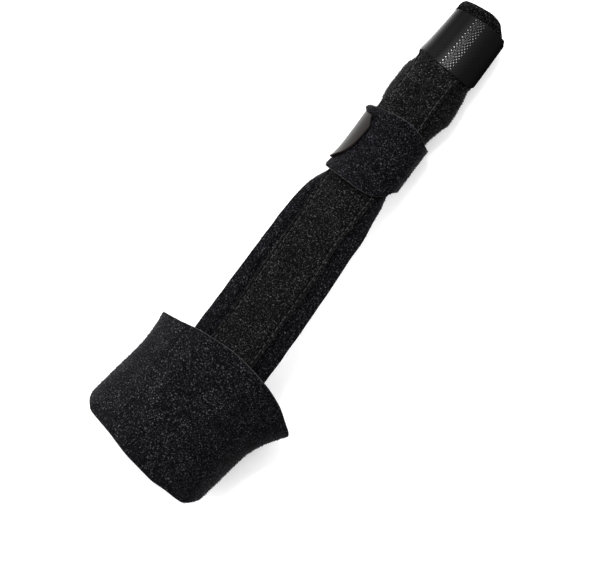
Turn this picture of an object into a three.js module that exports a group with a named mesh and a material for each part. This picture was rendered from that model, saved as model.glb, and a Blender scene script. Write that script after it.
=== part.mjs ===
// A finger splint that holds one finger straight: a wrist wrap, a padded strip that runs up the palm with
// a raised stay pocket, and a sleeve round the finger, held by a hook tape at its tip and by a strap at its
// root. Millimetres. The splint lies on its back, palm side up: +Y runs from the wrist to the fingertip,
// +X to the little finger's side, +Z out of the palm, and the origin is under the middle of the wrist wrap.
import * as THREE from "three";
import { mergeVertices } from "three/addons/utils/BufferGeometryUtils.js";

const degrees = Math.PI / 180;

// Layers.
const clearance = 0.35;
const wrapThickness = 2.2;
const patchThickness = 0.8;
const stripThickness = 2;
const pocketThickness = 2.3;
const sleeveThickness = 2;
const strapThickness = 2;
const tapeThickness = 1;

// Wrist.
const wristDepth = 32;
const wristHalfWidth = 26.5;
const wristTurn = 9 * degrees;
const wrapSideLength = 40;
const thumbFlare = 4;
const outerFlare = 7.6;
const flareLength = 22;
const wrapEdgeLift = 0.9;
const wrapOverlap = 22;
const wrapCorner = 6;
const patchLength = 16;
const patchWidth = 32;

// Palm strip and the stay pocket on it.
const stripTail = 22;
const stripHalfWidth = 16.6;
const palmReach = 114;
const pocketHalfWidth = 9.1;
const pocketTail = 19;
const pocketEdge = 0.45;
const coverSpread = 10;
const bandSpread = 6;

// Finger.
const fingerReach = 185;
const fingerHalfWidth = 9.3;
const fingerDepth = 17.5;
const strapStart = 112;
const strapLength = 20.5;
const tabStart = 108.4;
const tabWidth = 21.7;
const tabCorner = 5;
const tapeStart = 160.8;
const tapeWidth = 21.4;
const tapeOverlap = 12;

// Heights that follow from the layers.
const wrapLayerStep = wrapThickness + patchThickness + 2 * clearance;
const wristFloor = wrapLayerStep + wrapThickness;
const wristTop = wristFloor + wristDepth;
const tabLift = sleeveThickness + strapThickness + 2 * clearance;
const fingerFloor = tabLift + tapeThickness;
const fingerTop = fingerFloor + fingerDepth;
const tapeLift = sleeveThickness + clearance;
const tapeLayerStep = tapeThickness + clearance;
const tapeSink = (tapeLift + tapeLayerStep + tapeThickness - fingerFloor) / fingerDepth;

// The inside of the splint over the hand, section by section: `at` is a share of the way from the wrist's
// middle to the finger's root, `half` of the wrist's half width, `level` of the height from the finger's
// top to the wrist's top, and `aside` how far the middle lies off the strip's axis, as a share of the
// strip's half width.
const handRows = [
  { at: -0.3, half: 1, level: 1, aside: -0.32 },
  { at: 0.26, half: 1, level: 1, aside: 0.28 },
  { at: 0.4, half: 1.07, level: 0.95, aside: 0.3 },
  { at: 0.6, half: 1.05, level: 0.72, aside: 0.16 },
  { at: 0.75, half: 0.81, level: 0.46, aside: 0.07 },
  { at: 0.84, half: 0.57, level: 0.28, aside: 0.07 },
];

// The same along the finger: `at` is a share of the way from the finger's root to its tip, `left` and
// `right` how far the sides lie off the strip's axis, as shares of the finger's half width, and `top` and
// `floor` shares of its depth above its own floor.
const fingerRows = [
  { at: -0.13, left: 0.9, right: 1.32, top: 1.06, floor: 0 },
  { at: -0.05, left: 0.62, right: 1.19, top: 1.02, floor: 0 },
  { at: 0.06, left: 0.58, right: 1.17, top: 1, floor: 0 },
  { at: 0.26, left: 0.61, right: 1.17, top: 0.97, floor: 0 },
  { at: 0.36, left: 0.97, right: 1.3, top: 0.97, floor: -0.08 },
  { at: 0.44, left: 1, right: 1.46, top: 0.96, floor: -0.15 },
  { at: 0.56, left: 0.97, right: 1.38, top: 0.91, floor: -0.13 },
  { at: 0.645, left: 0.67, right: 1.19, top: 0.86, floor: tapeSink },
  { at: 0.75, left: 0.53, right: 1.18, top: 0.83, floor: tapeSink },
  { at: 1.04, left: 0.38, right: 1.15, top: 0.78, floor: tapeSink },
];

// How far the sides of the strip and of the pocket lie off the axis, measured over the limb, against the
// share of the palm's reach: shares of the half width of each. `swell` is a share of the pocket's
// thickness.
const stripRows = [
  { at: -0.3, left: 0.89, right: 1.09 },
  { at: 0.24, left: 0.895, right: 1.09 },
  { at: 0.56, left: 0.9, right: 1.03 },
  { at: 0.7, left: 0.89, right: 0.97 },
  { at: 0.8, left: 0.87, right: 0.94 },
  { at: 0.87, left: 0.81, right: 0.89 },
  { at: 0.93, left: 0.77, right: 0.96 },
  { at: 1, left: 0.71, right: 0.92 },
];
const pocketRows = [
  { at: -0.3, left: 0.78, right: 1.2, swell: 1 },
  { at: 0.3, left: 0.8, right: 1.2, swell: 1 },
  { at: 0.6, left: 0.96, right: 1.15, swell: 1 },
  { at: 0.72, left: 0.99, right: 1, swell: 1 },
  { at: 0.9, left: 0.98, right: 0.97, swell: 0.8 },
  { at: 1, left: 0.9, right: 0.86, swell: 0.5 },
  { at: 1.6, left: 0.84, right: 0.82, swell: 0.45 },
];

// Edges of the bands round the limb: `round` is the share of the way round from the middle of the palm
// side, clockwise as seen from the wrist, and `near` and `far` are shares of the band's length at its back.
const wrapEdges = [
  { round: 0, near: -0.69, far: 0.71 },
  { round: 0.06, near: -0.69, far: 0.7 },
  { round: 0.11, near: -0.66, far: 0.66 },
  { round: 0.165, near: -0.64, far: 0.58 },
  { round: 0.22, near: -0.54, far: 0.52 },
  { round: 0.26, near: -0.5, far: 0.48 },
  { round: 0.74, near: -0.5, far: 0.48 },
  { round: 0.8, near: -0.59, far: 0.5 },
  { round: 0.845, near: -0.65, far: 0.54 },
  { round: 0.91, near: -0.66, far: 0.635 },
  { round: 1, near: -0.69, far: 0.71 },
];
const strapEdges = [
  { round: 0, near: -0.37, far: 1.17 },
  { round: 0.08, near: -0.31, far: 1.15 },
  { round: 0.14, near: -0.16, far: 1.07 },
  { round: 0.2, near: -0.02, far: 1.01 },
  { round: 0.3, near: 0.03, far: 0.99 },
  { round: 0.62, near: 0, far: 1 },
  { round: 0.72, near: -0.33, far: 1.01 },
  { round: 0.84, near: -0.37, far: 1.06 },
  { round: 1, near: -0.37, far: 1.17 },
];
const tapeEdges = [
  { round: 0, near: -0.02, far: 1.04 },
  { round: 0.15, near: -0.04, far: 1.01 },
  { round: 0.3, near: 0.04, far: 0.94 },
  { round: 0.7, near: 0.04, far: 0.94 },
  { round: 0.85, near: 0.02, far: 0.99 },
  { round: 1, near: -0.02, far: 1.04 },
];

// How far the rim of the sleeve reaches past the finger's reach and turns out beyond the tape, as shares of
// the finger's half width.
const rimEdges = [
  { round: 0, past: 0.22, flare: 0.1 },
  { round: 0.07, past: 0.15, flare: 0.04 },
  { round: 0.14, past: -0.1, flare: 0 },
  { round: 0.25, past: -0.34, flare: 0 },
  { round: 0.68, past: -0.3, flare: 0 },
  { round: 0.76, past: -0.1, flare: 0.3 },
  { round: 0.88, past: 0.12, flare: 0.22 },
  { round: 1, past: 0.22, flare: 0.1 },
];
const rimStart = 0.96;

// Where the tab's rounded free end lies on the palm side, as a share of the way round, against the share
// of its width.
const tabEnds = [
  { across: 0, round: 0.8 },
  { across: 0.2, round: 0.855 },
  { across: 0.45, round: 0.878 },
  { across: 0.8, round: 0.885 },
  { across: 1, round: 0.862 },
];

const outlineSteps = 96;
const outlineFullness = 2.4;
const underFill = 1.04;
const widestShare = 0.47;
const normalReach = 0.008;

// A value read from a table's column, with no overshoot between its rows.
function readTable(rows, key, column, at) {
  const last = rows.length - 1;
  if (at <= rows[0][key]) return rows[0][column];
  if (at >= rows[last][key]) return rows[last][column];
  const slope = (i) => (rows[i + 1][column] - rows[i][column]) / (rows[i + 1][key] - rows[i][key]);
  const tangent = (i) => {
    if (i === 0 || i === last) return 0;
    const [before, after] = [slope(i - 1), slope(i)];
    return before * after > 0 ? (2 * before * after) / (before + after) : 0;
  };
  const i = rows.findIndex((row, n) => n < last && at < rows[n + 1][key]);
  const width = rows[i + 1][key] - rows[i][key];
  const t = (at - rows[i][key]) / width;
  const rise = rows[i + 1][column] - rows[i][column];
  const start = tangent(i) * width;
  const end = tangent(i + 1) * width;
  return rows[i][column] + t * (start + t * (3 * rise - 2 * start - end + t * (start + end - 2 * rise)));
}

const smooth = (value, from, to) => THREE.MathUtils.smoothstep(value, from, to);
const wrapRound = (share) => THREE.MathUtils.euclideanModulo(share, 1);

// A closed outline round a limb, as a path that starts at its crown and runs clockwise as seen from the
// wrist. The underside is cut flat at `low`.
function limbOutline({ centre, half, low, high }, fullness) {
  const middle = low + (high - low) * widestShare;
  const crownHeight = high - middle;
  const underDepth = (middle - low) * underFill;
  const points = [];
  for (let i = 0; i <= outlineSteps; i++) {
    const angle = (i / outlineSteps) * 2 * Math.PI;
    const side = Math.sin(angle);
    const up = Math.cos(angle);
    const bulge = Math.abs(up) ** (2 / fullness);
    const x = centre + half * Math.sign(side) * Math.abs(side) ** (2 / fullness);
    const z = up > 0 ? middle + crownHeight * bulge : Math.max(low, middle - underDepth * bulge);
    points.push(new THREE.Vector2(x, z));
  }
  return new THREE.Path(points);
}

// The point at a share of the way round an outline, moved out by `lift` along its normal.
function onOutline(outline, share, lift) {
  const point = outline.getPoint(wrapRound(share));
  const before = outline.getPoint(wrapRound(share - normalReach));
  const after = outline.getPoint(wrapRound(share + normalReach));
  const tangent = after.sub(before).normalize();
  return new THREE.Vector2(point.x - tangent.y * lift, point.y + tangent.x * lift);
}

// Rows of the whole limb in millimetres, wrist to fingertip.
const limbRows = [
  ...handRows.map((row) => ({
    at: row.at * palmReach,
    centre: row.aside * stripHalfWidth,
    half: row.half * wristHalfWidth,
    low: wristFloor,
    high: fingerTop + row.level * (wristTop - fingerTop),
  })),
  ...fingerRows.map((row) => ({
    at: palmReach + row.at * (fingerReach - palmReach),
    centre: ((row.right - row.left) / 2) * fingerHalfWidth,
    half: ((row.right + row.left) / 2) * fingerHalfWidth,
    low: fingerFloor + row.floor * fingerDepth,
    high: fingerFloor + row.top * fingerDepth,
  })),
];

// The limb's section at a place along it, worked out once: its outline, its girth and its middle.
const sections = new Map();
function sectionAt(y) {
  const key = y.toFixed(4);
  if (!sections.has(key)) {
    const row = {};
    for (const column of ["centre", "half", "low", "high"]) {
      row[column] = readTable(limbRows, "at", column, y);
    }
    const outline = limbOutline(row, outlineFullness);
    sections.set(key, { outline, girth: outline.getLength(), centre: row.centre });
  }
  return sections.get(key);
}

function onLimb(share, y, lift) {
  const point = onOutline(sectionAt(y).outline, share, lift);
  return new THREE.Vector3(point.x, y, point.y);
}

// The edges of a strip that lies along the limb, as distances off the axis, and the share of the way round
// the limb at which such a distance lies.
function sidesAt(rows, halfWidth, y) {
  const at = (column) => readTable(rows, "at", column, y / palmReach) * halfWidth;
  return { left: -at("left"), right: at("right") };
}

function shareOf(distance, y) {
  const { girth, centre } = sectionAt(y);
  return (distance - centre) / girth;
}

// A thick sheet: a subdivided box whose vertices are each put in place by their share of the way round or
// across, along, and out through the sheet.
function thickSheet(acrossSteps, alongSteps, place) {
  const box = new THREE.BoxGeometry(1, 1, 1, acrossSteps, alongSteps, 1);
  box.deleteAttribute("normal");
  box.deleteAttribute("uv");
  const sheet = mergeVertices(box);
  const position = sheet.getAttribute("position");
  for (let i = 0; i < position.count; i++) {
    const point = place(position.getX(i) + 0.5, position.getY(i) + 0.5, position.getZ(i) + 0.5);
    position.setXYZ(i, point.x, point.y, point.z);
  }
  return sheet;
}

// A thick tube, made the same way from a lathed ring.
function thickTube(roundSteps, alongSteps, place) {
  const profile = [];
  for (let i = 0; i <= alongSteps; i++) profile.push(new THREE.Vector2(2, i / alongSteps));
  for (let i = alongSteps; i >= 0; i--) profile.push(new THREE.Vector2(1, i / alongSteps));
  profile.push(profile[0].clone());
  const ring = new THREE.LatheGeometry(profile, roundSteps);
  ring.deleteAttribute("normal");
  ring.deleteAttribute("uv");
  const tube = mergeVertices(ring);
  const position = tube.getAttribute("position");
  for (let i = 0; i < position.count; i++) {
    const [x, y, z] = [position.getX(i), position.getY(i), position.getZ(i)];
    const point = place(wrapRound(Math.atan2(x, z) / (2 * Math.PI)), y, 2 - Math.hypot(x, z));
    position.setXYZ(i, point.x, point.y, point.z);
  }
  return tube;
}

// How much a corner of the given radius takes off each side at a distance from the end.
const cornerCut = (distance, radius) =>
  distance < radius ? radius - Math.sqrt(radius ** 2 - (radius - distance) ** 2) : 0;

// How high the layers under a band stand above the limb at a distance off the axis.
function layersUnder(distance, y, spread) {
  const rise = (rows, halfWidth, thickness) => {
    const { left, right } = sidesAt(rows, halfWidth, y);
    const past = Math.max(left - distance, distance - right);
    return (thickness + clearance) * (1 - smooth(past, spread / 4, spread));
  };
  const pocketRise = pocketThickness * readTable(pocketRows, "at", "swell", y / palmReach);
  return {
    strip: rise(stripRows, stripHalfWidth, stripThickness),
    pocket: rise(pocketRows, pocketHalfWidth, pocketRise),
  };
}

// The wrap's outer face in its own frame, with y along the arm, `inset` millimetres in from the outside.
const wrapHalfWidth = wristHalfWidth + wrapThickness;
function onWrap(share, y, inset) {
  const flare = Math.max(0, y / flareLength) ** 2;
  const left = wrapHalfWidth + thumbFlare * flare;
  const right = wrapHalfWidth + outerFlare * flare;
  const [centre, half] = [(right - left) / 2, (right + left) / 2];
  const outline = limbOutline({ centre, half, low: 0, high: wristTop + wrapThickness }, outlineFullness);
  const point = onOutline(outline, share, -inset);
  const onPalm = smooth(point.y, wristTop - wristDepth * 0.55, wristTop - wristDepth * 0.3);
  const distance = point.x * Math.cos(wristTurn) + y * Math.sin(wristTurn);
  const { strip, pocket } = layersUnder(distance, y, coverSpread);
  const edge = smooth(y, wrapSideLength / 2, wrapSideLength * 0.75) * wrapEdgeLift;
  return new THREE.Vector3(point.x, y, point.y + onPalm * (strip + pocket + edge));
}

function edgesAt(rows, share, start, length) {
  const at = (column) => start + readTable(rows, "round", column, wrapRound(share)) * length;
  return { near: at("near"), far: at("far") };
}

// The wrap winds once and overlaps itself at the back, its inner end lying inside a hook patch.
const wristSection = { centre: 0, half: wrapHalfWidth, low: 0, high: wristTop };
const wristGirth = limbOutline(wristSection, outlineFullness).getLength();
function makeWrap() {
  const inner = 0.5 - wrapOverlap / 2 / wristGirth;
  const outer = 1.5 + wrapOverlap / 2 / wristGirth;
  return thickSheet(84, 5, (round, along, out) => {
    const share = inner + round * (outer - inner);
    const inset = wrapLayerStep * (1 - smooth(share, 0.6, 0.76));
    const { near, far } = edgesAt(wrapEdges, share, 0, wrapSideLength);
    const cut = cornerCut((outer - share) * wristGirth, wrapCorner);
    const y = near + cut + along * (far - near - 2 * cut);
    return onWrap(share, y, inset + (1 - out) * wrapThickness);
  });
}

function makeWrapPatch() {
  const reach = patchLength / 2 / wristGirth;
  return thickSheet(8, 2, (round, along, out) => {
    const share = 0.5 + (round * 2 - 1) * reach;
    const inset = wrapThickness + clearance + (1 - out) * patchThickness;
    return onWrap(share, (along - 0.5) * patchWidth, inset);
  });
}

function makeStrip() {
  return thickSheet(9, 40, (across, along, out) => {
    const y = -stripTail + along * (palmReach - clearance + stripTail);
    const { left, right } = sidesAt(stripRows, stripHalfWidth, y);
    return onLimb(shareOf(left + across * (right - left), y), y, out * stripThickness);
  });
}

// The pocket's height across it: full over the stay and thin where it is sewn down.
const pocketSwell = (across) => pocketEdge + (1 - pocketEdge) * (1 - Math.abs(across * 2 - 1) ** 5);

function makePocket() {
  const pocketTip = tapeStart + tapeWidth * 0.8;
  return thickSheet(8, 62, (across, along, out) => {
    const y = -pocketTail + along * (pocketTip + pocketTail);
    const { left, right } = sidesAt(pocketRows, pocketHalfWidth, y);
    const swell = readTable(pocketRows, "at", "swell", y / palmReach) * pocketSwell(across);
    const lift = stripThickness + clearance + out * pocketThickness * swell;
    return onLimb(shareOf(left + across * (right - left), y), y, lift);
  });
}

function makeSleeve() {
  return thickTube(32, 24, (round, along, inward) => {
    const past = readTable(rimEdges, "round", "past", round) * fingerHalfWidth;
    const y = palmReach + along * (fingerReach + past - palmReach);
    const flare = readTable(rimEdges, "round", "flare", round) * fingerHalfWidth;
    return onLimb(round, y, flare * smooth(along, rimStart, 1) + (1 - inward) * sleeveThickness);
  });
}

// How far a band round the finger is lifted off the sleeve where it lies over the pocket.
function pocketLift(share, y) {
  const { girth, centre } = sectionAt(y);
  return layersUnder((wrapRound(share + 0.5) - 0.5) * girth + centre, y, bandSpread).pocket;
}

function makeStrap() {
  const [first, last] = [-0.3, 0.62];
  return thickSheet(46, 6, (round, along, out) => {
    const share = first + round * (last - first);
    const { near, far } = edgesAt(strapEdges, share, strapStart, strapLength);
    const y = near + along * (far - near);
    return onLimb(share, y, sleeveThickness + clearance + pocketLift(share, y) + out * strapThickness);
  });
}

// The hook tab is sewn outside the strap's end at the back and closes over its start at the thumb's side.
function makeTab() {
  const first = 0.44;
  return thickSheet(22, 6, (round, along, out) => {
    const last = readTable(tabEnds, "across", "round", along);
    const share = first + round * (last - first);
    const y = tabStart + along * tabWidth;
    return onLimb(share, y, tabLift + pocketLift(share, y) + out * tapeThickness);
  });
}

function makeTape() {
  const { girth } = sectionAt(tapeStart + tapeWidth / 2);
  const inner = 0.5 - tapeOverlap / 2 / girth;
  const outer = 1.5 + tapeOverlap / 2 / girth;
  return thickSheet(44, 3, (round, along, out) => {
    const share = inner + round * (outer - inner);
    const layer = tapeLayerStep * smooth(share, 1.2, 1.4);
    const { near, far } = edgesAt(tapeEdges, share, tapeStart, tapeWidth);
    const cut = cornerCut((outer - share) * girth, tabCorner);
    const y = near + cut + along * (far - near - 2 * cut);
    return onLimb(share, y, tapeLift + layer + pocketLift(share, y) + out * tapeThickness);
  });
}

const looks = {
  loop: { color: 0x1b1b1d, roughness: 0.95, metalness: 0 },
  pocketLoop: { color: 0x1d1d1d, roughness: 0.95, metalness: 0 },
  tape: { color: 0x1c1c1c, roughness: 0.35, metalness: 0 },
};

function piece(name, geometry, look) {
  const mesh = new THREE.Mesh(geometry, new THREE.MeshStandardMaterial(looks[look]));
  mesh.name = name;
  return mesh;
}

const wristGroup = new THREE.Group();
wristGroup.rotation.z = -wristTurn;
wristGroup.add(piece("wrist_wrap", makeWrap(), "loop"), piece("wrist_hook_patch", makeWrapPatch(), "tape"));

const splint = new THREE.Group();
splint.add(
  wristGroup,
  piece("palm_strip", makeStrip(), "loop"),
  piece("stay_pocket", makePocket(), "pocketLoop"),
  piece("finger_sleeve", makeSleeve(), "loop"),
  piece("finger_strap", makeStrap(), "loop"),
  piece("strap_tab", makeTab(), "tape"),
  piece("tip_tape", makeTape(), "tape"),
);

export default splint;
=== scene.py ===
import math

import bmesh
import bpy
import numpy as np
from mathutils import Matrix, Vector


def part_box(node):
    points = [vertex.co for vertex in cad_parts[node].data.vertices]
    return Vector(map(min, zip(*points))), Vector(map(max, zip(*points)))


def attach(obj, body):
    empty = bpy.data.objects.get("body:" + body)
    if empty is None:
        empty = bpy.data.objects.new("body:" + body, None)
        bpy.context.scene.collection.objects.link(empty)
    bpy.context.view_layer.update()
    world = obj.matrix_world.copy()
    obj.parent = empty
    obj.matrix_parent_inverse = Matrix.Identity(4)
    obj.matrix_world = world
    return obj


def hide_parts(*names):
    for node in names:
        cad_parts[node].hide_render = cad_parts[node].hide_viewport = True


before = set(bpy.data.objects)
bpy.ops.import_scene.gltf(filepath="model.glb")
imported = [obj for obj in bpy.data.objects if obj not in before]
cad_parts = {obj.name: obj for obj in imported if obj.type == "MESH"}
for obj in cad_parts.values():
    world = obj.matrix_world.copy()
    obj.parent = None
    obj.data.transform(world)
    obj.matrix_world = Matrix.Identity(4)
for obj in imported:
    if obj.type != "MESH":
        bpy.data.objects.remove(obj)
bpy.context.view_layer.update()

mm = 0.001

# Places read from the frame.
sleeve_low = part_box("finger_sleeve")[0]
strip_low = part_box("palm_strip")[0]
pocket_low, pocket_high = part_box("stay_pocket")
tab_low, tab_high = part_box("strap_tab")
palm_reach = sleeve_low[1]
strip_tail = -strip_low[1]
pocket_tail = -pocket_low[1]
pocket_tip = pocket_high[1]
tab_width = tab_high[1] - tab_low[1]

# Layers.
clearance = 0.35 * mm
wrap_thickness = 2.2 * mm
patch_thickness = 0.8 * mm
strip_thickness = 2 * mm
pocket_thickness = 2.3 * mm
sleeve_thickness = 2 * mm
strap_thickness = 2 * mm
tape_thickness = 1 * mm

# Wrist, palm and finger.
wrist_depth = 32 * mm
wrist_half_width = 26.5 * mm
wrist_turn = math.radians(9)
wrap_side_length = 40 * mm
thumb_flare = 4 * mm
outer_flare = 7.6 * mm
flare_length = 22 * mm
wrap_edge_lift = 0.9 * mm
wrap_overlap = 22 * mm
wrap_corner = 6 * mm
strip_half_width = 16.6 * mm
pocket_half_width = 9.1 * mm
cover_spread = 10 * mm
band_spread = 6 * mm
finger_reach = 185 * mm
finger_half_width = 9.3 * mm
finger_depth = 17.5 * mm
strap_start = 112 * mm
strap_length = 20.5 * mm
tab_corner = 5 * mm
tape_start = 160.8 * mm
tape_width = 21.4 * mm
tape_overlap = 12 * mm

# Flat widths of the two cloths whose sides are cut in, and the place whose girth the sleeve is cut for.
wrap_flat_width = 1.4 * wrap_side_length
strap_flat_width = 1.3 * strap_length
sleeve_girth_place = 150 * mm

# Where the bands start, end and climb over themselves, as shares of the way round.
strap_from = -0.3
strap_to = 0.62
tab_from = 0.44
tab_flat_share = 0.42
wrap_layer_rise = (0.6, 0.76)
tape_layer_rise = (1.2, 1.4)

# The wrap: how far off the middle of the back it sags, by share of the way round; how far below the wrist's
# top it lifts over the strip, by share of the depth; and where its palm edge lifts, by share of its length.
wrap_sag_rise = (0.15, 0.3)
over_strip_rise = (0.55, 0.3)
edge_lift_rise = (0.5, 0.75)

# The groove that the pocket's seams press into the strip, and the pucker between their stitches.
groove_depth = 0.8 * mm
groove_width = 3 * mm
groove_overlap = 0.6 * mm
pucker_share = 0.04
pucker_pitch = 3 * mm
pucker_rise = (0.7, 0.86)

# The strap beside the tab: how far it puffs out and curls in, and where round the finger.
far_ear = 2.1 * mm
far_ear_fullness = 0.4
near_curl = 3 * mm
curl_reach = 4.6 * mm
ear_rise = (0.62, 0.72)
ear_fall = (0.84, 0.93)
curl_fall = (0.79, 0.86)

# The cloth's swell just outside the tip tape and the strap: its height, where the thumb's side is round the
# finger, and how far from the band's edge the swell rises and falls.
tape_swell = 1.1 * mm
tape_thumb_swell = 0.6 * mm
strap_thumb_swell = 1.6 * mm
thumb_rise = (0.6, 0.74)
thumb_fall = (0.84, 0.97)
tape_gentle_rise = (-7 * mm, -1.5 * mm)
tape_steep_rise = (-2 * mm, -0.5 * mm)
tape_edge_fall = (-0.1 * mm, 0.4 * mm)
strap_edge_rise = (-0.4 * mm, 0.1 * mm)
strap_gentle_fall = (0.3 * mm, 6 * mm)

# Where the sleeve's rim flares, as shares of its length.
rim_flare_rise = (0.948, 0.985)

# Heights that follow from the layers.
wrap_layer_step = wrap_thickness + patch_thickness + 2 * clearance
wrist_floor = wrap_layer_step + wrap_thickness
wrist_top = wrist_floor + wrist_depth
tab_lift = sleeve_thickness + strap_thickness + 2 * clearance
finger_floor = tab_lift + tape_thickness
finger_top = finger_floor + finger_depth
tape_lift = sleeve_thickness + clearance
tape_layer_step = tape_thickness + clearance
tape_sink = (tape_lift + tape_layer_step + tape_thickness - finger_floor) / finger_depth

# The inside of the splint, as shares of the sizes above: over the hand against the share of the palm's
# reach (at, half width, level of the crown, middle aside), and along the finger against the share of the
# finger's length (at, left, right, top, floor).
hand_rows = (
    (-0.3, 1, 1, -0.32),
    (0.26, 1, 1, 0.28),
    (0.4, 1.07, 0.95, 0.3),
    (0.6, 1.05, 0.72, 0.16),
    (0.75, 0.81, 0.46, 0.07),
    (0.84, 0.57, 0.28, 0.07),
)
finger_rows = (
    (-0.13, 0.9, 1.32, 1.06, 0),
    (-0.05, 0.62, 1.19, 1.02, 0),
    (0.06, 0.58, 1.17, 1, 0),
    (0.26, 0.61, 1.17, 0.97, 0),
    (0.36, 0.97, 1.3, 0.97, -0.08),
    (0.44, 1, 1.46, 0.96, -0.15),
    (0.56, 0.97, 1.38, 0.91, -0.13),
    (0.645, 0.67, 1.19, 0.86, tape_sink),
    (0.75, 0.53, 1.18, 0.83, tape_sink),
    (1.04, 0.38, 1.15, 0.78, tape_sink),
)

# Sides of the strip and of the pocket off the axis, over the limb, against the share of the palm's reach.
strip_columns = ("at", "left", "right")
strip_rows = (
    (-0.3, 0.89, 1.09),
    (0.24, 0.895, 1.09),
    (0.56, 0.9, 1.03),
    (0.7, 0.89, 0.97),
    (0.8, 0.87, 0.94),
    (0.87, 0.81, 0.89),
    (0.93, 0.77, 0.96),
    (1, 0.71, 0.92),
)
pocket_columns = ("at", "left", "right", "swell")
pocket_rows = (
    (-0.3, 0.78, 1.2, 1),
    (0.3, 0.8, 1.2, 1),
    (0.6, 0.96, 1.15, 1),
    (0.72, 0.99, 1, 1),
    (0.9, 0.98, 0.97, 0.8),
    (1, 0.9, 0.86, 0.5),
    (1.6, 0.84, 0.82, 0.45),
)

# The pocket's height across it, from its middle to its sewn edge, as a share of its thickness: a flat crown
# over the stay, a stitched dip and a rounded welt.
seam_place = 0.86
seam_height = 0.66
pocket_profile_columns = ("out", "height")
pocket_profile = (
    (0, 1),
    (0.68, 0.98),
    (0.8, 0.84),
    (seam_place, seam_height),
    (0.93, 1.02),
    (0.97, 0.95),
    (1, 0.4),
)

# Edges of the bands against the share of the way round, as shares of their length at the back.
edge_columns = ("round", "near", "far")
wrap_edges = (
    (0, -0.69, 0.71),
    (0.06, -0.69, 0.7),
    (0.11, -0.66, 0.66),
    (0.165, -0.64, 0.58),
    (0.22, -0.54, 0.52),
    (0.26, -0.5, 0.48),
    (0.74, -0.5, 0.48),
    (0.8, -0.59, 0.5),
    (0.845, -0.65, 0.54),
    (0.91, -0.66, 0.635),
    (1, -0.69, 0.71),
)
strap_edges = (
    (0, -0.37, 1.17),
    (0.06, -0.33, 1.15),
    (0.1, -0.22, 1.08),
    (0.14, -0.04, 1),
    (0.2, 0, 0.98),
    (0.3, 0.03, 0.99),
    (0.62, 0, 1),
    (0.72, -0.33, 1.01),
    (0.84, -0.37, 1.06),
    (1, -0.37, 1.17),
)
tape_edges = (
    (0, -0.02, 1.04),
    (0.15, -0.04, 1.01),
    (0.3, 0.04, 0.94),
    (0.7, 0.04, 0.94),
    (0.85, 0.02, 0.99),
    (1, -0.02, 1.04),
)

# The sleeve's rim against the share of the way round: how far it goes past its end and how far it flares,
# as shares of the finger's half width.
rim_columns = ("round", "past", "flare")
rim_edges = (
    (0, 0.28, 0.1),
    (0.07, 0.2, 0.04),
    (0.14, -0.1, 0),
    (0.25, -0.34, 0),
    (0.68, -0.3, 0.1),
    (0.74, -0.28, 0.3),
    (0.78, -0.04, 0.3),
    (0.82, 0.1, 0.28),
    (0.88, 0.18, 0.24),
    (1, 0.28, 0.1),
)

# The share of the way round at which the tab's free end lies, against the share of the tab's width.
tab_columns = ("across", "round")
tab_ends = (
    (0, 0.8),
    (0.2, 0.855),
    (0.45, 0.878),
    (0.8, 0.885),
    (1, 0.862),
)

# Gentle unevenness of the cloths: its height, its wavelength and the seed of its waves.
unevenness = {
    "wrap": (0.12 * mm, 30 * mm, 4),
    "strip": (0.1 * mm, 16 * mm, 5),
    "strip's left side": (0.12 * mm, 17 * mm, 8),
    "strip's right side": (0.12 * mm, 17 * mm, 9),
    "pocket": (0.06 * mm, 11 * mm, 6),
}
wave_count = 7
wave_stretch = (0.6, 1.6)
wave_calm = 4

# Outlines of the limb. A normal is taken over a few steps each way.
outline_steps = 384
outline_fullness = 2.4
under_fill = 1.04
widest_share = 0.47
section_pitch = 0.5 * mm
normal_reach = 3
limb_start = -40 * mm
limb_end = 195 * mm
wrist_end = 40 * mm


def read_table(rows, columns, key, column, at):
    """A column read at the given places, with no overshoot between its rows."""
    table = np.array(rows, dtype=float)
    places = table[:, columns.index(key)]
    values = table[:, columns.index(column)]
    slopes = np.diff(values) / np.diff(places)
    before, after = slopes[:-1], slopes[1:]
    same_way = before * after > 0
    total = np.where(same_way, before + after, 1)
    inner = np.where(same_way, 2 * before * after / total, 0)
    tangents = np.concatenate([[0], inner, [0]])
    at = np.clip(at, places[0], places[-1])
    row = np.clip(np.searchsorted(places, at, side="right") - 1, 0, len(places) - 2)
    width = places[row + 1] - places[row]
    t = (at - places[row]) / width
    rise = values[row + 1] - values[row]
    start = tangents[row] * width
    end = tangents[row + 1] * width
    return values[row] + t * (start + t * (3 * rise - 2 * start - end + t * (start + end - 2 * rise)))


def smooth(value, start, end):
    """From 0 at start to 1 at end, with no corner."""
    t = np.clip((value - start) / (end - start), 0, 1)
    return t * t * (3 - 2 * t)


def plateau(value, rise, fall):
    """From 0 to 1 over one range and back to 0 over the other."""
    return smooth(value, *rise) * (1 - smooth(value, *fall))


def hump(t, fullness):
    """A rounded rise and fall between 0 and 1."""
    return np.sin(math.pi * np.clip(t, 0, 1)) ** fullness


def beside(edge, span):
    """A span of distances, counted from an edge."""
    return edge + span[0], edge + span[1]


def ripple(part, across, along):
    """A part's gentle unevenness, from a few crossing waves."""
    height, wavelength, seed = unevenness[part]
    draw = np.random.default_rng(seed)
    total = np.zeros_like(across)
    for _ in range(wave_count):
        heading, phase = draw.uniform(0, 2 * math.pi, 2)
        stretch = draw.uniform(*wave_stretch)
        run = across * math.cos(heading) + along * math.sin(heading)
        total += np.sin(2 * math.pi * run * stretch / wavelength + phase)
    return height * total / wave_calm


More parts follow.
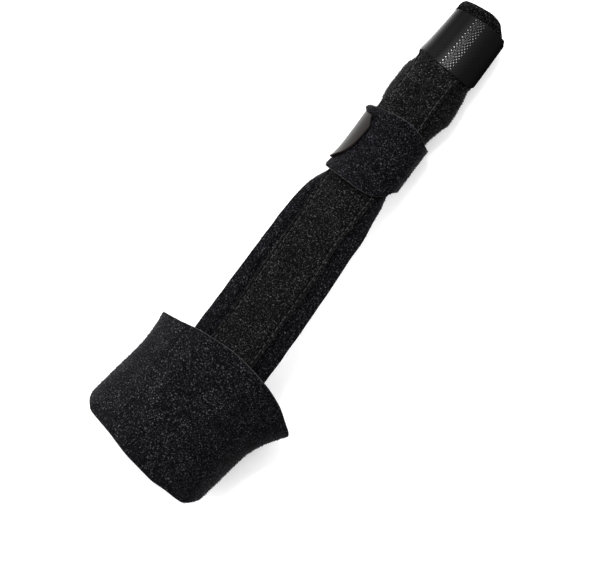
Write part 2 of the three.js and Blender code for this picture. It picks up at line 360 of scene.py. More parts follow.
class Limb:
    """Closed outlines round a limb, evenly pitched along it, to lay cloth on by the share of the way
    round, which is 0 on the palm side and grows away from the thumb."""

    def __init__(self, start, end, section):
        self.start = start
        self.places = np.arange(start, end, section_pitch)
        centre, half, low, high = section(self.places)
        self.centre = centre
        angle = np.linspace(0, 2 * math.pi, outline_steps + 1)
        side = np.sin(angle)
        up = np.cos(angle)
        reach = np.sign(side) * np.abs(side) ** (2 / outline_fullness)
        bulge = np.abs(up) ** (2 / outline_fullness)
        middle = low + (high - low) * widest_share
        x = centre[:, None] + half[:, None] * reach
        over = middle[:, None] + (high - middle)[:, None] * bulge
        under = np.maximum(low[:, None], middle[:, None] - (middle - low)[:, None] * under_fill * bulge)
        z = np.where(up > 0, over, under)
        self.girth = self.space_evenly(x, z)
        self.fields = [x, z, *self.normals(x, z)]

    @staticmethod
    def space_evenly(x, z):
        """Moves each outline's points to even steps along it and gives the outlines' girths."""
        even = np.linspace(0, 1, outline_steps + 1)
        girth = np.zeros(len(x))
        for i in range(len(x)):
            run = np.concatenate([[0], np.cumsum(np.hypot(np.diff(x[i]), np.diff(z[i])))])
            girth[i] = run[-1]
            x[i] = np.interp(even, run / run[-1], x[i])
            z[i] = np.interp(even, run / run[-1], z[i])
        return girth

    def normals(self, x, z):
        """The two parts of the direction out of each outline."""
        step_x = self.steps_along(x)
        step_z = self.steps_along(z)
        length = np.hypot(step_x, step_z)
        rings = (-step_z / length, step_x / length)
        return [np.concatenate([ring, ring[:, :1]], axis=1) for ring in rings]

    @staticmethod
    def steps_along(field):
        """How much a field changes along each outline, over a few steps each way."""
        ring = field[:, :-1]
        return np.roll(ring, -normal_reach, axis=1) - np.roll(ring, normal_reach, axis=1)

    def row(self, y):
        """The row at a place along the limb, kept just short of the last one."""
        return np.clip((y - self.start) / section_pitch, 0, len(self.places) - 1.001)

    def girth_at(self, y):
        return np.interp(y, self.places, self.girth)

    def centre_at(self, y):
        return np.interp(y, self.places, self.centre)

    def at(self, share, y, lift):
        """Points a given lift outside the outline."""
        column = np.mod(share, 1) * outline_steps
        row = self.row(y)
        i = np.floor(row).astype(int)
        j = np.minimum(np.floor(column).astype(int), outline_steps - 1)
        s = row - i
        t = column - j
        read = []
        for field in self.fields:
            near = field[i, j] * (1 - t) + field[i, j + 1] * t
            far = field[i + 1, j] * (1 - t) + field[i + 1, j + 1] * t
            read.append(near * (1 - s) + far * s)
        x, z, normal_x, normal_z = read
        return np.stack([x + normal_x * lift, y, z + normal_z * lift], axis=-1)


def limb_section(places):
    """Middle, half width, underside and crown of the hand and the finger."""
    rows = []
    for at, half, level, aside in hand_rows:
        centre = aside * strip_half_width
        crown = finger_top + level * (wrist_top - finger_top)
        rows.append((at * palm_reach, centre, half * wrist_half_width, wrist_floor, crown))
    for at, left, right, top, floor in finger_rows:
        place = palm_reach + at * (finger_reach - palm_reach)
        centre = (right - left) / 2 * finger_half_width
        half = (right + left) / 2 * finger_half_width
        low = finger_floor + floor * finger_depth
        high = finger_floor + top * finger_depth
        rows.append((place, centre, half, low, high))
    columns = ("at", "centre", "half", "low", "high")
    return [read_table(rows, columns, "at", column, places) for column in columns[1:]]


def wrist_section(places):
    """The wrap's outside, which flares where the palm begins."""
    flare = np.maximum(0, places / flare_length) ** 2
    outside = wrist_half_width + wrap_thickness
    left = outside + thumb_flare * flare
    right = outside + outer_flare * flare
    low = np.zeros_like(places)
    high = np.full_like(places, wrist_top + wrap_thickness)
    return (right - left) / 2, (right + left) / 2, low, high


limb = Limb(limb_start, limb_end, limb_section)
wrist = Limb(limb_start, wrist_end, wrist_section)
wrist_girth = float(wrist.girth_at(0))
tape_girth = float(limb.girth_at(tape_start + tape_width / 2))
tape_length = (1 + tape_overlap / tape_girth) * (tape_girth + 2 * math.pi * tape_lift)


def sides_at(rows, columns, half_width, y):
    left = -read_table(rows, columns, "at", "left", y / palm_reach) * half_width
    right = read_table(rows, columns, "at", "right", y / palm_reach) * half_width
    return left, right


def strip_sides(y):
    return sides_at(strip_rows, strip_columns, strip_half_width, y)


def pocket_sides(y):
    return sides_at(pocket_rows, pocket_columns, pocket_half_width, y)


def pocket_swell(y):
    return read_table(pocket_rows, pocket_columns, "at", "swell", y / palm_reach)


def share_of(distance, y):
    """The share of the way round the limb at a distance off the splint's axis."""
    return (distance - limb.centre_at(y)) / limb.girth_at(y)


def distance_of(share, y):
    """The distance off the splint's axis at a share of the way round the limb."""
    return (np.mod(share + 0.5, 1) - 0.5) * limb.girth_at(y) + limb.centre_at(y)


def rise_over(sides, thickness, distance, spread):
    """How far a layer lifts what lies over it."""
    left, right = sides
    past = np.maximum(left - distance, distance - right)
    return (thickness + clearance) * (1 - smooth(past, spread / 4, spread))


def pocket_lift(share, y):
    """How far a band round the finger is lifted where it lies over the pocket."""
    distance = distance_of(share, y)
    return rise_over(pocket_sides(y), pocket_thickness * pocket_swell(y), distance, band_spread)


def ear_lift(share, y, near, far):
    """At the thumb's side the strap puffs out past the tab towards the fingertip, and its other edge
    curls in."""
    round_ = np.mod(share, 1)
    puff = far_ear * hump((y - tab_high[1]) / (far - tab_high[1]), far_ear_fullness)
    edge = np.clip((near + curl_reach - y) / curl_reach, 0, 1)
    curl = near_curl * (1 - np.sqrt(1 - edge**2)) * (1 - smooth(round_, *curl_fall))
    return plateau(round_, ear_rise, ear_fall) * (puff - curl)


def band_swell(share, y):
    """How far the cloth swells up just outside the strap and the tip tape, which press it in."""
    thumb_side = plateau(np.mod(share, 1), thumb_rise, thumb_fall)
    near = edges_at(tape_edges, share, tape_start, tape_width)[0]
    far = edges_at(strap_edges, share, strap_start, strap_length)[1]
    gentle = smooth(y, *beside(near, tape_gentle_rise))
    steep = smooth(y, *beside(near, tape_steep_rise))
    before_tape = (gentle + steep) / 2 * (1 - smooth(y, *beside(near, tape_edge_fall)))
    past_strap = plateau(y, beside(far, strap_edge_rise), beside(far, strap_gentle_fall))
    beside_tape = (tape_swell + tape_thumb_swell * thumb_side) * before_tape
    return beside_tape + strap_thumb_swell * thumb_side * past_strap


def on_wrap(share, y, inset):
    """A point of the wrap, `inset` in from its outside, turned to the arm."""
    point = wrist.at(share, y, -inset)
    on_palm = smooth(point[:, 2], *(wrist_top - wrist_depth * part for part in over_strip_rise))
    distance = point[:, 0] * math.cos(wrist_turn) + y * math.sin(wrist_turn)
    lift = rise_over(strip_sides(y), strip_thickness, distance, cover_spread)
    lift += rise_over(pocket_sides(y), pocket_thickness, distance, cover_spread)
    lift += wrap_edge_lift * smooth(y, *(wrap_side_length * part for part in edge_lift_rise))
    point[:, 2] += on_palm * lift
    x = point[:, 0] * math.cos(wrist_turn) + y * math.sin(wrist_turn)
    along = y * math.cos(wrist_turn) - point[:, 0] * math.sin(wrist_turn)
    return np.stack([x, along, point[:, 2]], axis=-1)


def edges_at(rows, share, start, length):
    """The near and the far edge of a band at a share of the way round."""
    near = start + read_table(rows, edge_columns, "round", "near", np.mod(share, 1)) * length
    far = start + read_table(rows, edge_columns, "round", "far", np.mod(share, 1)) * length
    return near, far


def corner_cut(distance, radius):
    """What a round corner takes off each side at a distance from the end."""
    short = np.clip(radius - distance, 0, radius)
    return radius - np.sqrt(radius**2 - short**2)


# The angle in radians past which an edge is softened.
sharp_angle = 1


def cut_cloth(length, width, thickness, steps, edge, tube=False):
    """A flat slab of cloth from the origin along +X and +Y, face up, with softened edges and its cut
    sides marked. A tube's two ends are left open, to meet when it is laid."""
    bm = bmesh.new()
    bmesh.ops.create_grid(bm, x_segments=steps[0], y_segments=steps[1], size=0.5)
    bmesh.ops.translate(bm, verts=bm.verts, vec=(0.5, 0.5, 0))
    bmesh.ops.scale(bm, verts=bm.verts, vec=(length, width, 1))
    raised = bmesh.ops.extrude_face_region(bm, geom=bm.faces[:])["geom"]
    top = [part for part in raised if isinstance(part, bmesh.types.BMVert)]
    bmesh.ops.translate(bm, verts=top, vec=(0, 0, thickness))
    bmesh.ops.recalc_face_normals(bm, faces=bm.faces)
    for face in bm.faces:
        face.material_index = 1 if abs(face.normal.z) < 0.5 else 0
    if tube:
        ends = [face for face in bm.faces if abs(face.normal.x) > 0.5]
        bmesh.ops.delete(bm, geom=ends, context="FACES_ONLY")
    rim = [part for part in bm.edges if part.calc_face_angle(0) > sharp_angle]
    bmesh.ops.bevel(bm, geom=rim, offset=edge, segments=3, profile=0.5, affect="EDGES", material=-1)
    return bm


def lay(bm, length, width, thickness, place):
    """Takes each vertex from the flat cloth to the limb, and keeps its flat place for weave and pile."""
    layer = bm.verts.layers.float_vector.new("flat")
    flat = np.array([vert.co[:] for vert in bm.verts])
    laid = place(flat[:, 0] / length, flat[:, 1] / width, flat[:, 2] / thickness)
    for vert, spot, point in zip(bm.verts, flat, laid):
        vert[layer] = spot
        vert.co = point


def finish_piece(name, bm, materials, slot, *nodes):
    """Makes the mesh an object of the splint that stands for its CAD nodes."""
    mesh = bpy.data.meshes.new(name)
    bm.normal_update()
    bm.to_mesh(mesh)
    bm.free()
    mesh.shade_smooth()
    for material in materials:
        mesh.materials.append(material)
    piece = bpy.data.objects.new(name, mesh)
    bpy.context.scene.collection.objects.link(piece)
    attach(piece, "root")
    if nodes:
        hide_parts(*nodes)
    return piece


# Shader and geometry nodes.
def feed(tree, socket, value):
    """Gives an input its value, or links it to the output that the value is."""
    if isinstance(value, bpy.types.NodeSocket):
        tree.links.new(value, socket)
    else:
        socket.default_value = value


def add_node(tree, kind, settings=None, **inputs):
    """A new node with its settings and with what its named inputs hold."""
    node = tree.nodes.new(kind)
    for key, value in (settings or {}).items():
        setattr(node, key, value)
    for key, value in inputs.items():
        feed(tree, node.inputs[key.replace("_", " ")], value)
    return node


class Finish:
    """A material with its shader, to which nodes are added."""

    def __init__(self, name):
        self.material = bpy.data.materials.new(name)
        self.material.use_nodes = True
        self.tree = self.material.node_tree
        self.shader = self.tree.nodes["Principled BSDF"]
        self.place = self.add("ShaderNodeTexCoord").outputs["Object"]

    def add(self, kind, settings=None, **inputs):
        return add_node(self.tree, kind, settings, **inputs)

    def noise(self, scale, detail=2, roughness=0.5):
        return self.add(
            "ShaderNodeTexNoise",
            Vector=self.place,
            Scale=scale,
            Detail=detail,
            Roughness=roughness,
        ).outputs["Fac"]

    def cells(self, scale):
        return self.add("ShaderNodeTexVoronoi", Vector=self.place, Scale=scale).outputs["Distance"]

    def ramp(self, value, *stops):
        node = self.add("ShaderNodeValToRGB", Fac=value)
        band = node.color_ramp.elements
        while len(band) < len(stops):
            band.new(0.5)
        for element, (position, colour) in zip(band, stops):
            element.position = position
            element.color = (*colour, 1)
        return node.outputs["Color"]

    def math(self, operation, first, second=0.0):
        node = self.add("ShaderNodeMath", {"operation": operation})
        feed(self.tree, node.inputs[0], first)
        feed(self.tree, node.inputs[1], second)
        return node.outputs[0]

    def bump(self, height, distance, strength=1.0, under=None):
        node = self.add("ShaderNodeBump", Height=height, Distance=distance, Strength=strength)
        if under:
            feed(self.tree, node.inputs["Normal"], under)
        return node.outputs["Normal"]

    def set(self, **inputs):
        for key, value in inputs.items():
            feed(self.tree, self.shader.inputs[key.replace("_", " ")], value)


def grey(level, tint=(1, 1, 1)):
    """A grey of a given level, coloured by a tint."""
    return tuple(level * part for part in tint)


# Materials. Scales are in turns per metre, so 1500 is a detail of about two thirds of a millimetre.
def loop_cloth(name, tint, painted_light_level):
    """Brushed loop cloth under its pile: dark and tangled, with pale flecks in its colour that are painted
    glints where a loop would catch the light, and all its colours scaled by a painted light level.
    """
    finish = Finish(name)
    tangle = finish.noise(1700, 3, 0.7)
    patches = finish.noise(160, 2)
    mixed = finish.math("ADD", tangle, finish.math("MULTIPLY", patches, 0.07))
    colour = finish.ramp(
        mixed,
        # From nearly black up to pale flecks, which are painted glints; each level is scaled by the painted
        # light level.
        (0.44, grey(0.0005 * painted_light_level, tint)),
        (0.55, grey(0.0022 * painted_light_level, tint)),
        (0.64, grey(0.014 * painted_light_level, tint)),
        (0.72, grey(0.1 * painted_light_level, tint)),
    )
    loops = finish.bump(finish.cells(1900), 0.25 * mm, 1.0)
    nap = finish.bump(finish.noise(4200, 2), 0.1 * mm, 1.0, loops)
    finish.set(Base_Color=colour, Roughness=0.62, Normal=nap)
    finish.set(Specular_IOR_Level=0.03, Specular_Tint=(*tint, 1))
    return finish.material


def foam_edge():
    """The cut side of the laminate: fine closed foam, a little greyer than the pile."""
    finish = Finish("foam_cut_edge")
    colour = finish.ramp(finish.noise(2600, 3), (0.35, grey(0.012)), (0.65, grey(0.026)))
    pores = finish.bump(finish.cells(4200), 0.07 * mm, 0.8)
    finish.set(Base_Color=colour, Roughness=0.8, Normal=pores, Specular_IOR_Level=0.3)
    return finish.material


def flat_place(finish):
    """Where a point was on the flat cloth."""
    return finish.add("ShaderNodeAttribute", {"attribute_name": "flat"}).outputs["Vector"]


def thread_waves(finish, axis, pitch):
    """A wave across threads that lie at a pitch along one axis of the flat cloth."""
    place = finish.add("ShaderNodeSeparateXYZ", Vector=flat_place(finish)).outputs[axis]
    return finish.math("SINE", finish.math("MULTIPLY", place, 2 * math.pi / pitch))


def smooth_tape():
    """The tab's smooth moulded tape with the faintest ribs."""
    finish = Finish("smooth_tab_tape")
    ribs = finish.bump(thread_waves(finish, "X", 0.5 * mm), 0.006 * mm, 0.6)
    grain = finish.bump(finish.noise(2400, 3), 0.012 * mm, 0.5, ribs)
    roughness = finish.add("ShaderNodeMapRange", Value=finish.noise(90, 3), To_Min=0.24, To_Max=0.36)
    # The warm tint of its colour and of its gloss is painted reflection: the warmth of skin mirrored in the
    # tape.
    finish.set(Base_Color=(0.0085, 0.0068, 0.0064, 1), Roughness=roughness.outputs["Result"], Normal=grain)
    finish.set(Specular_IOR_Level=0.07, Specular_Tint=(1, 0.9, 0.86, 1))
    return finish.material


# The woven tape: the pitches and the depth of its threads, and its gloss by the distance round it from its
# middle, a painted highlight: a streak of gloss put where the lamp's highlight should fall, dimmed at the
# sides and strongest at the tape's near edge.
weave_pitch_round = 1.35 * mm
weave_pitch_across = 1.55 * mm
weave_depth = 0.034 * mm
highlight_streak_reach = 15 * mm
highlight_streak_gloss = (
    (-12.5 * mm, 0.07),
    (-8.5 * mm, 0.008),
    (-5.2 * mm, 0.02),
    (-3.8 * mm, 0.13),
    (-1.5 * mm, 0.13),
    (5 * mm, 0),
)
near_highlight_strength = 1.5
far_highlight_strength = 0.5


def painted_highlight_streak(finish):
    """The woven tape's gloss, a painted highlight, read from its table by the place on the flat tape: a
    streak of gloss where the lamp's highlight should fall.
    """
    flat = finish.add("ShaderNodeSeparateXYZ", Vector=flat_place(finish)).outputs
    from_middle = finish.math("SUBTRACT", flat["X"], tape_length / 2)
    share = finish.math("ADD", finish.math("DIVIDE", from_middle, 2 * highlight_streak_reach), 0.5)
    stops = [(at / highlight_streak_reach / 2 + 0.5, grey(level)) for at, level in highlight_streak_gloss]
    across = finish.math("DIVIDE", flat["Y"], tape_width)
    change = finish.math("MULTIPLY", across, far_highlight_strength - near_highlight_strength)
    streak_strength = finish.math("ADD", change, near_highlight_strength)
    return finish.math("MULTIPLY", finish.ramp(share, *stops), streak_strength)


def woven_tape():
    """The tip tape's glossy weave, whose threads break a highlight into rows of dots."""
    finish = Finish("woven_tip_tape")
    threads_round = thread_waves(finish, "X", weave_pitch_round)
    threads_across = thread_waves(finish, "Y", weave_pitch_across)
    weave = finish.math("MULTIPLY", threads_round, threads_across)
    finish.set(Base_Color=(*grey(0.005), 1), Roughness=0.08)
    # Its gloss is the painted highlight streak.
    finish.set(Normal=finish.bump(weave, weave_depth, 1.0), Specular_IOR_Level=painted_highlight_streak(finish))
    return finish.material


def thread(name, colour, gloss):
    """Plain sewing thread."""
    finish = Finish(name)
    finish.set(Base_Color=(*colour, 1), Roughness=0.5, Specular_IOR_Level=gloss)
    return finish.material


def pile_thread(name, tint):
    """Loops of thread, most of them nearly black and a few pale."""
    finish = Finish(name)
    shade = finish.add("ShaderNodeAttribute", {"attribute_name": "shade"}).outputs["Fac"]
    colour = finish.ramp(
        shade,
        (0, grey(0.0005, tint)),
        (0.4, grey(0.003, tint)),
        (0.7, grey(0.014, tint)),
        (1, grey(0.042, tint)),
    )
    gloss = finish.math("MULTIPLY", finish.math("POWER", shade, 3.0), 0.3)
    finish.set(Base_Color=colour, Roughness=0.42, Specular_IOR_Level=gloss, Specular_Tint=(*tint, 1))
    return finish.material


# Copies of one loop cloth, each with its own painted light level: lightest on the wrap, darkest on the
# sleeve.
strip_loop = loop_cloth("strip_loop_cloth", (0.88, 0.84, 1), 0.9)
wrap_loop = loop_cloth("wrap_loop_cloth", (0.9, 0.88, 1), 1.05)
sleeve_loop = loop_cloth("sleeve_loop_cloth", (0.97, 0.96, 0.97), 0.85)
pocket_loop = loop_cloth("pocket_loop_cloth", (0.98, 0.97, 0.98), 0.95)
cut_edge = foam_edge()
tab_finish = smooth_tape()
tape_finish = woven_tape()
sewing_thread = thread("sewing_thread", (0.024, 0.024, 0.025), 0.3)
cool_pile = pile_thread("cool_pile_thread", (0.8, 0.77, 1))
plain_pile = pile_thread("plain_pile_thread", (0.97, 0.96, 0.97))


def make_wrap():
    """The wrap winds once round the wrist and overlaps itself at the back."""
    inner = 0.5 - wrap_overlap / 2 / wrist_girth
    outer = 1.5 + wrap_overlap / 2 / wrist_girth
    length = (outer - inner) * wrist_girth
    width = wrap_flat_width

    def place(round_, along, out):
        share = inner + round_ * (outer - inner)
        inset = wrap_layer_step * (1 - smooth(share, *wrap_layer_rise))
        near, far = edges_at(wrap_edges, share, 0, wrap_side_length)
        cut = corner_cut((outer - share) * wrist_girth, wrap_corner)
        y = near + cut + along * (far - near - 2 * cut)
        on_palm = smooth(np.abs(np.mod(share, 1) - 0.5), *wrap_sag_rise)
        sag = on_palm * ripple("wrap", share * wrist_girth, y)
        return on_wrap(share, y, inset + (1 - out) * wrap_thickness + sag)

    bm = cut_cloth(length, width, wrap_thickness, steps=(230, 64), edge=0.5 * mm)
    lay(bm, length, width, wrap_thickness, place)
    wrap = finish_piece("wrist_wrap_cloth", bm, (wrap_loop, cut_edge), "loop_cloth", "wrist_wrap")
    pile = grow_pile(wrap, "wrist_wrap_pile", wrap_thickness, cool_pile, density=1.05e6, seed=11)


def make_strip():
    """The palm strip lies on the palm and bends round the root of the finger."""
    length = palm_reach - clearance + strip_tail
    width = 2 * strip_half_width

    def place(across, along, out):
        y = -strip_tail + along * length
        left, right = strip_sides(y)
        left = left + ripple("strip's left side", y, y)
        right = right + ripple("strip's right side", y, y)
        distance = left + across * (right - left)
        seam_left, seam_right = pocket_sides(y)
        beside_pocket = np.maximum(seam_left - distance, distance - seam_right)
        groove = groove_depth * hump((beside_pocket + groove_overlap) / groove_width, 1)
        lift = out * (strip_thickness - groove) + ripple("strip", distance, y)
        return limb.at(share_of(distance, y), y, lift)

    bm = cut_cloth(width, length, strip_thickness, steps=(60, 150), edge=0.45 * mm)
    lay(bm, width, length, strip_thickness, place)
    strip = finish_piece("palm_strip_cloth", bm, (strip_loop, cut_edge), "loop_cloth", "palm_strip")
    pile = grow_pile(strip, "palm_strip_pile", strip_thickness, cool_pile, density=1.4e6, seed=12)


def make_pocket():
    """The stay pocket: a raised channel with a stitched dip and a welt along both sides."""
    length = pocket_tip + pocket_tail
    width = 2 * pocket_half_width

    def place(across, along, out):
        y = -pocket_tail + along * length
        left, right = pocket_sides(y)
        distance = left + across * (right - left)
        off_middle = np.abs(across * 2 - 1)
        height = read_table(pocket_profile, pocket_profile_columns, "out", "height", off_middle)
        pucker = pucker_share * np.sin(2 * math.pi * y / pucker_pitch) * smooth(off_middle, *pucker_rise)
        lift = strip_thickness + clearance + out * pocket_thickness * (height + pucker) * pocket_swell(y)
        lift += out * ripple("pocket", distance, y)
        share = share_of(distance, y)
        return limb.at(share, y, lift + band_swell(share, y))

    bm = cut_cloth(width, length, pocket_thickness, steps=(60, 260), edge=0.28 * mm)
    lay(bm, width, length, pocket_thickness, place)
    pocket = finish_piece("stay_pocket_cloth", bm, (pocket_loop, cut_edge), "pocket_cloth", "stay_pocket")
    pile = grow_pile(
        pocket,
        "stay_pocket_pile",
        pocket_thickness,
        plain_pile,
        density=1.6e6,
        seed=13,
    )


def rim_at(column, share):
    """How far the sleeve's rim goes past its end, or how far it flares, at a share of the way round."""
    return read_table(rim_edges, rim_columns, "round", column, np.mod(share, 1)) * finger_half_width


def make_sleeve():
    """The sleeve: one cloth bent round until its two sides meet under the finger."""
    length = float(limb.girth_at(sleeve_girth_place))
    width = finger_reach - palm_reach

    def place(round_, along, out):
        share = round_ - 0.5
        y = palm_reach + along * (width + rim_at("past", share))
        flare = rim_at("flare", share) * smooth(along, *rim_flare_rise)
        return limb.at(share, y, flare + band_swell(share, y) + out * sleeve_thickness)

    bm = cut_cloth(length, width, sleeve_thickness, steps=(110, 120), edge=0.35 * mm, tube=True)
    lay(bm, length, width, sleeve_thickness, place)
    bmesh.ops.remove_doubles(bm, verts=bm.verts, dist=0.02 * mm)
    sleeve = finish_piece("finger_sleeve_cloth", bm, (sleeve_loop, cut_edge), "loop_cloth", "finger_sleeve")
    pile = grow_pile(sleeve, "finger_sleeve_pile", sleeve_thickness, plain_pile, density=1.4e6, seed=14)


def make_strap():
    """The strap crosses the root of the finger. Beside the tab it puffs out at one edge and curls in at
    the other."""
    turns = strap_to - strap_from
    length = turns * (float(limb.girth_at(strap_start)) + 2 * math.pi * tape_lift)
    width = strap_flat_width

    def place(round_, along, out):
        share = strap_from + round_ * turns
        near, far = edges_at(strap_edges, share, strap_start, strap_length)
        y = near + along * (far - near)
        lift = sleeve_thickness + clearance + pocket_lift(share, y) + out * strap_thickness
        return limb.at(share, y, lift + ear_lift(share, y, near, far))

    bm = cut_cloth(length, width, strap_thickness, steps=(110, 40), edge=0.45 * mm)
    lay(bm, length, width, strap_thickness, place)
    strap = finish_piece("finger_strap_cloth", bm, (strip_loop, cut_edge), "loop_cloth", "finger_strap")
    pile = grow_pile(strap, "finger_strap_pile", strap_thickness, cool_pile, density=1.5e6, seed=15)


def make_tab():
    """The hook tab is sewn on outside the strap at the back and closes over the strap's other end."""
    length = tab_flat_share * (float(limb.girth_at(strap_start)) + 2 * math.pi * tab_lift)

    def place(round_, along, out):
        last = read_table(tab_ends, tab_columns, "across", "round", along)
        share = tab_from + round_ * (last - tab_from)
        y = tab_low[1] + along * tab_width
        return limb.at(share, y, tab_lift + pocket_lift(share, y) + out * tape_thickness)

    bm = cut_cloth(length, tab_width, tape_thickness, steps=(70, 36), edge=0.3 * mm)
    lay(bm, length, tab_width, tape_thickness, place)
    tab = finish_piece("strap_tab_tape", bm, (tab_finish, tab_finish), "tab_tape", "strap_tab")


def make_tape():
    """The tip tape goes once round the sleeve and overlaps itself underneath."""
    inner = 0.5 - tape_overlap / 2 / tape_girth
    outer = 1.5 + tape_overlap / 2 / tape_girth

    def place(round_, along, out):
        share = inner + round_ * (outer - inner)
        layer = tape_layer_step * smooth(share, *tape_layer_rise)
        near, far = edges_at(tape_edges, share, tape_start, tape_width)
        cut = corner_cut((outer - share) * tape_girth, tab_corner)
        y = near + cut + along * (far - near - 2 * cut)
        return limb.at(share, y, tape_lift + layer + pocket_lift(share, y) + out * tape_thickness)

    bm = cut_cloth(tape_length, tape_width, tape_thickness, steps=(130, 36), edge=0.3 * mm)
    lay(bm, tape_length, tape_width, tape_thickness, place)
    tape = finish_piece("tip_tape_woven", bm, (tape_finish, tape_finish), "woven_tape", "tip_tape")


# Pile: bent loops of thread, scattered over the outside of each cloth, each leant, turned and scaled at
# random. The outside is what lies above a share of the flat cloth's thickness.
loop_span = 0.5 * mm
loop_height = 0.3 * mm
loop_thread = 0.09 * mm
loop_lean = 0.5
loop_turn = 6.283
loop_scales = (0.7, 1.35)
outside_share = 0.9


def make_loop():
    """One loop of the pile, an arch with both ends in the cloth."""
    bm = bmesh.new()
    bmesh.ops.create_circle(bm, segments=3, radius=loop_thread / 2, cap_ends=True)
    bmesh.ops.translate(bm, verts=bm.verts, vec=(loop_span / 2, 0, 0))
    bmesh.ops.spin(bm, geom=bm.faces[:], cent=(0, 0, 0), axis=(0, -1, 0), angle=math.pi, steps=2)
    bmesh.ops.scale(bm, verts=bm.verts, vec=(1, 1, loop_height / (loop_span / 2)))
    bmesh.ops.recalc_face_normals(bm, faces=bm.faces)
    mesh = bpy.data.meshes.new("pile_loop")
    bm.to_mesh(mesh)
    bm.free()
    return bpy.data.objects.new("pile_loop", mesh)


def scatter_nodes(loop, density, face_height, seed):
    """Geometry nodes that stand loops at random on the outer face of a cloth."""
    group = bpy.data.node_groups.new("scattered_loops", "GeometryNodeTree")
    group.interface.new_socket("Geometry", in_out="INPUT", socket_type="NodeSocketGeometry")
    group.interface.new_socket("Geometry", in_out="OUTPUT", socket_type="NodeSocketGeometry")

    def add(kind, settings=None, **inputs):
        return add_node(group, kind, settings, **inputs)

    def between(low, high, offset):
        node = add("FunctionNodeRandomValue", {"data_type": "FLOAT"})
        sockets = [socket for socket in node.inputs if socket.type == "VALUE"]
        sockets[0].default_value = low
        sockets[1].default_value = high
        node.inputs["Seed"].default_value = seed + offset
        return next(socket for socket in node.outputs if socket.type == "VALUE")

    cloth = add("NodeGroupInput").outputs[0]
    flat = add("GeometryNodeInputNamedAttribute", {"data_type": "FLOAT_VECTOR"}, Name="flat")
    height = add("ShaderNodeSeparateXYZ", Vector=flat.outputs["Attribute"]).outputs["Z"]
    higher = {"data_type": "FLOAT", "operation": "GREATER_THAN"}
    outer = add("FunctionNodeCompare", higher, A=height, B=face_height)
    spots = add(
        "GeometryNodeDistributePointsOnFaces",
        Mesh=cloth,
        Selection=outer.outputs["Result"],
        Density=density,
        Seed=seed,
    )
    shaded = add(
        "GeometryNodeStoreNamedAttribute",
        {"data_type": "FLOAT", "domain": "POINT"},
        Geometry=spots.outputs["Points"],
        Name="shade",
        Value=between(0, 1, 5),
    )
    lean = add(
        "ShaderNodeCombineXYZ",
        X=between(-loop_lean, loop_lean, 1),
        Y=between(-loop_lean, loop_lean, 2),
        Z=between(0, loop_turn, 3),
    )
    turn = add("FunctionNodeEulerToRotation", Euler=lean.outputs[0])
    stand = add(
        "FunctionNodeRotateRotation",
        {"rotation_space": "LOCAL"},
        Rotation=spots.outputs["Rotation"],
        Rotate_By=turn.outputs[0],
    )
    shape = add("GeometryNodeObjectInfo", Object=loop)
    placed = add(
        "GeometryNodeInstanceOnPoints",
        Points=shaded.outputs[0],
        Instance=shape.outputs["Geometry"],
        Rotation=stand.outputs[0],
        Scale=between(*loop_scales, 4),
    )
    joined = add("GeometryNodeRealizeInstances", Geometry=placed.outputs[0])
    group.links.new(joined.outputs[0], add("NodeGroupOutput").inputs[0])
    return group


def grow_pile(cloth, name, thickness, material, density, seed):
    """The cloth's pile, as one joined mesh, of a density in loops per square metre."""
    loop = make_loop()
    group = scatter_nodes(loop, density, thickness * outside_share, seed)
    carrier = bpy.data.objects.new("carrier", cloth.data)
    bpy.context.scene.collection.objects.link(carrier)
    carrier.modifiers.new("scatter", "NODES").node_group = group
    grown = carrier.evaluated_get(bpy.context.evaluated_depsgraph_get())
    mesh = bpy.data.meshes.new_from_object(grown)
    bpy.data.objects.remove(carrier)
    bpy.data.meshes.remove(loop.data)
    bpy.data.node_groups.remove(group)
    mesh.materials.clear()
    mesh.materials.append(material)
    mesh.name = name
    if "flat" in mesh.attributes:
        mesh.attributes.remove(mesh.attributes["flat"])
    pile = bpy.data.objects.new(name, mesh)
    bpy.context.scene.collection.objects.link(pile)
    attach(pile, "root")
    return pile


# Seams: lockstitches along both sides of the pocket and in a box at the wrap's outer end.
stitch_length = 2.1 * mm
stitch_gap = 0.5 * mm
stitch_radius = 0.24 * mm
pocket_seam_margin = 2 * mm
pocket_seam_points = 400
patch_seam_half_width = 8.5 * mm
patch_seam_half_length = 16 * mm
patch_seam_sink = 0.02 * mm
patch_seam_points = 40


def point_on(points, run, distance):
    """The point at a distance run along a row of points."""
    return Vector([np.interp(distance, run, points[:, axis]) for axis in range(3)])


def sew(name, rows):
    """Rows of lockstitches: short threads half sunk in the cloth along each row's points."""
    bm = bmesh.new()
    for points in rows:
        steps = np.linalg.norm(np.diff(points, axis=0), axis=1)
        run = np.concatenate([[0], np.cumsum(steps)])
        for start in np.arange(stitch_gap, run[-1] - stitch_length, stitch_length + stitch_gap):
            first = point_on(points, run, start)
            last = point_on(points, run, start + stitch_length)
            turn = (last - first).to_track_quat("Z", "Y").to_matrix().to_4x4()
            size = Matrix.Diagonal((stitch_radius, stitch_radius, stitch_length / 2, 1))
            seat = Matrix.Translation((first + last) / 2) @ turn @ size
            bmesh.ops.create_uvsphere(bm, u_segments=6, v_segments=5, radius=1, matrix=seat)
    return finish_piece(name, bm, (sewing_thread,), "pocket_cloth")


def pocket_seams():
    """The two seams in the pocket's dips."""
    y = np.linspace(-pocket_tail + pocket_seam_margin, pocket_tip - pocket_seam_margin, pocket_seam_points)
    left, right = pocket_sides(y)
    dip = seam_height * pocket_thickness * pocket_swell(y)
    lift = strip_thickness + clearance + dip + band_swell(0, y)
    rows = []
    for side in (-1, 1):
        distance = (left + right) / 2 + side * seam_place * (right - left) / 2
        rows.append(limb.at(share_of(distance, y), y, lift))
    return sew("pocket_stitching", rows)


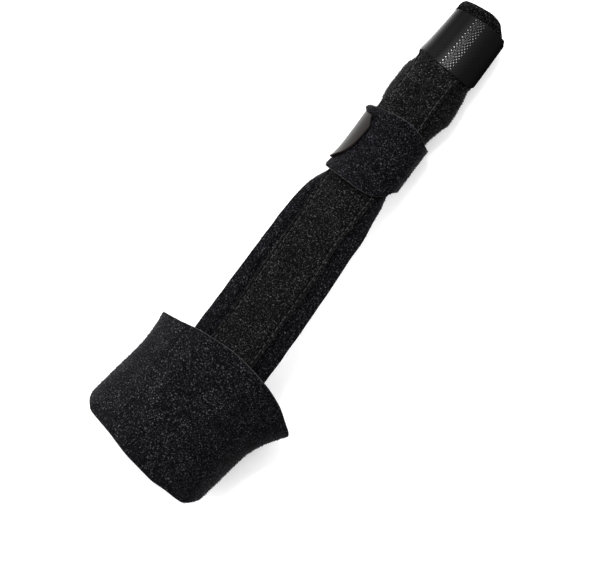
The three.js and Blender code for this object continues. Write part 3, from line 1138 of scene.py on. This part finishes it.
def patch_seams():
    """A box of stitches that holds the hook patch inside the wrap's outer end."""
    reach = patch_seam_half_width / wrist_girth
    half = patch_seam_half_length
    corners = [(-reach, -half), (reach, -half), (reach, half), (-reach, half), (-reach, -half)]
    t = np.linspace(0, 1, patch_seam_points)
    rows = []
    for (x0, y0), (x1, y1) in zip(corners, corners[1:]):
        rows.append(on_wrap(0.5 + x0 + (x1 - x0) * t, y0 + (y1 - y0) * t, patch_seam_sink))
    return sew("wrap_end_stitching", rows)


make_wrap()
make_strip()
make_pocket()
make_sleeve()
make_strap()
make_tab()
make_tape()
pocket_seams()
patch_seams()

# The hook patch keeps its CAD shape and takes the tape's finish.
hook_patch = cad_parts["wrist_hook_patch"].data
hook_patch.materials.clear()
hook_patch.materials.append(tape_finish)


# Floor, light and camera.
floor_half_size = 3
floor_drop = 0.05 * mm
bright_heading = (-0.86, 0.5, 0)
dim_light = 0.2
bright_light = 2.8


def make_floor():
    """A pale floor just under the splint. It neither lights the splint nor shows in its gloss."""
    finish = Finish("pale_floor")
    finish.set(Base_Color=(*grey(0.95), 1), Roughness=0.9)
    finish.set(Emission_Color=(1, 1, 1, 1), Emission_Strength=0.2)
    bm = bmesh.new()
    bmesh.ops.create_grid(bm, x_segments=1, y_segments=1, size=floor_half_size)
    bmesh.ops.translate(bm, verts=bm.verts, vec=(0, 0, -floor_drop))
    mesh = bpy.data.meshes.new("floor")
    bm.to_mesh(mesh)
    bm.free()
    mesh.materials.append(finish.material)
    floor = bpy.data.objects.new("floor", mesh)
    bpy.context.scene.collection.objects.link(floor)
    floor.visible_diffuse = False
    floor.visible_glossy = False


def softbox(name, place, target, size, power):
    """A rectangular lamp that faces its target."""
    lamp = bpy.data.lights.new(name, "AREA")
    lamp.shape = "RECTANGLE"
    lamp.size, lamp.size_y = size
    lamp.energy = power
    light = bpy.data.objects.new(name, lamp)
    light.location = place
    light.rotation_euler = (Vector(target) - Vector(place)).to_track_quat("-Z", "Y").to_euler()
    bpy.context.scene.collection.objects.link(light)


def studio_light():
    """Soft light from all round, brighter on the thumb's side and towards the fingertip."""
    world = bpy.data.worlds.new("studio")
    world.use_nodes = True
    tree = world.node_tree
    heading = add_node(tree, "ShaderNodeTexCoord").outputs["Generated"]
    towards = add_node(tree, "ShaderNodeVectorMath", {"operation": "DOT_PRODUCT"})
    feed(tree, towards.inputs[0], heading)
    feed(tree, towards.inputs[1], bright_heading)
    fade = add_node(
        tree,
        "ShaderNodeMapRange",
        Value=towards.outputs["Value"],
        From_Min=-1,
        From_Max=1,
        To_Min=dim_light,
        To_Max=bright_light,
    )
    background = tree.nodes["Background"]
    feed(tree, background.inputs["Strength"], fade.outputs["Result"])
    feed(tree, background.inputs["Color"], (1, 1, 1, 1))
    bpy.context.scene.world = world


make_floor()
studio_light()
bpy.context.scene.view_settings.view_transform = "Standard"
softbox("key", place=(-1.2, 0.1, 0.35), target=(0, 0.08, 0.02), size=(0.9, 0.6), power=3.0)
softbox("overhead", place=(-0.2, 0.34, 0.92), target=(0, 0.15, 0.02), size=(0.12, 0.12), power=3.4)

# The camera looks straight down on the palm from far off. The splint's axis leans 3 across to 4 up.
frame_width = 225 * mm
focal_length = 400
sensor_width = 36
look_at = (7.5 * mm, 62 * mm, 28 * mm)
picture_lean = math.atan2(0.6, 0.8)
camera_height = frame_width * focal_length / sensor_width
lens = bpy.data.cameras.new("camera")
lens.sensor_width = sensor_width
lens.lens = focal_length
camera = bpy.data.objects.new("camera", lens)
camera.location = (look_at[0], look_at[1], look_at[2] + camera_height)
camera.rotation_euler = (0, 0, picture_lean)
bpy.context.scene.collection.objects.link(camera)
bpy.context.scene.camera = camera
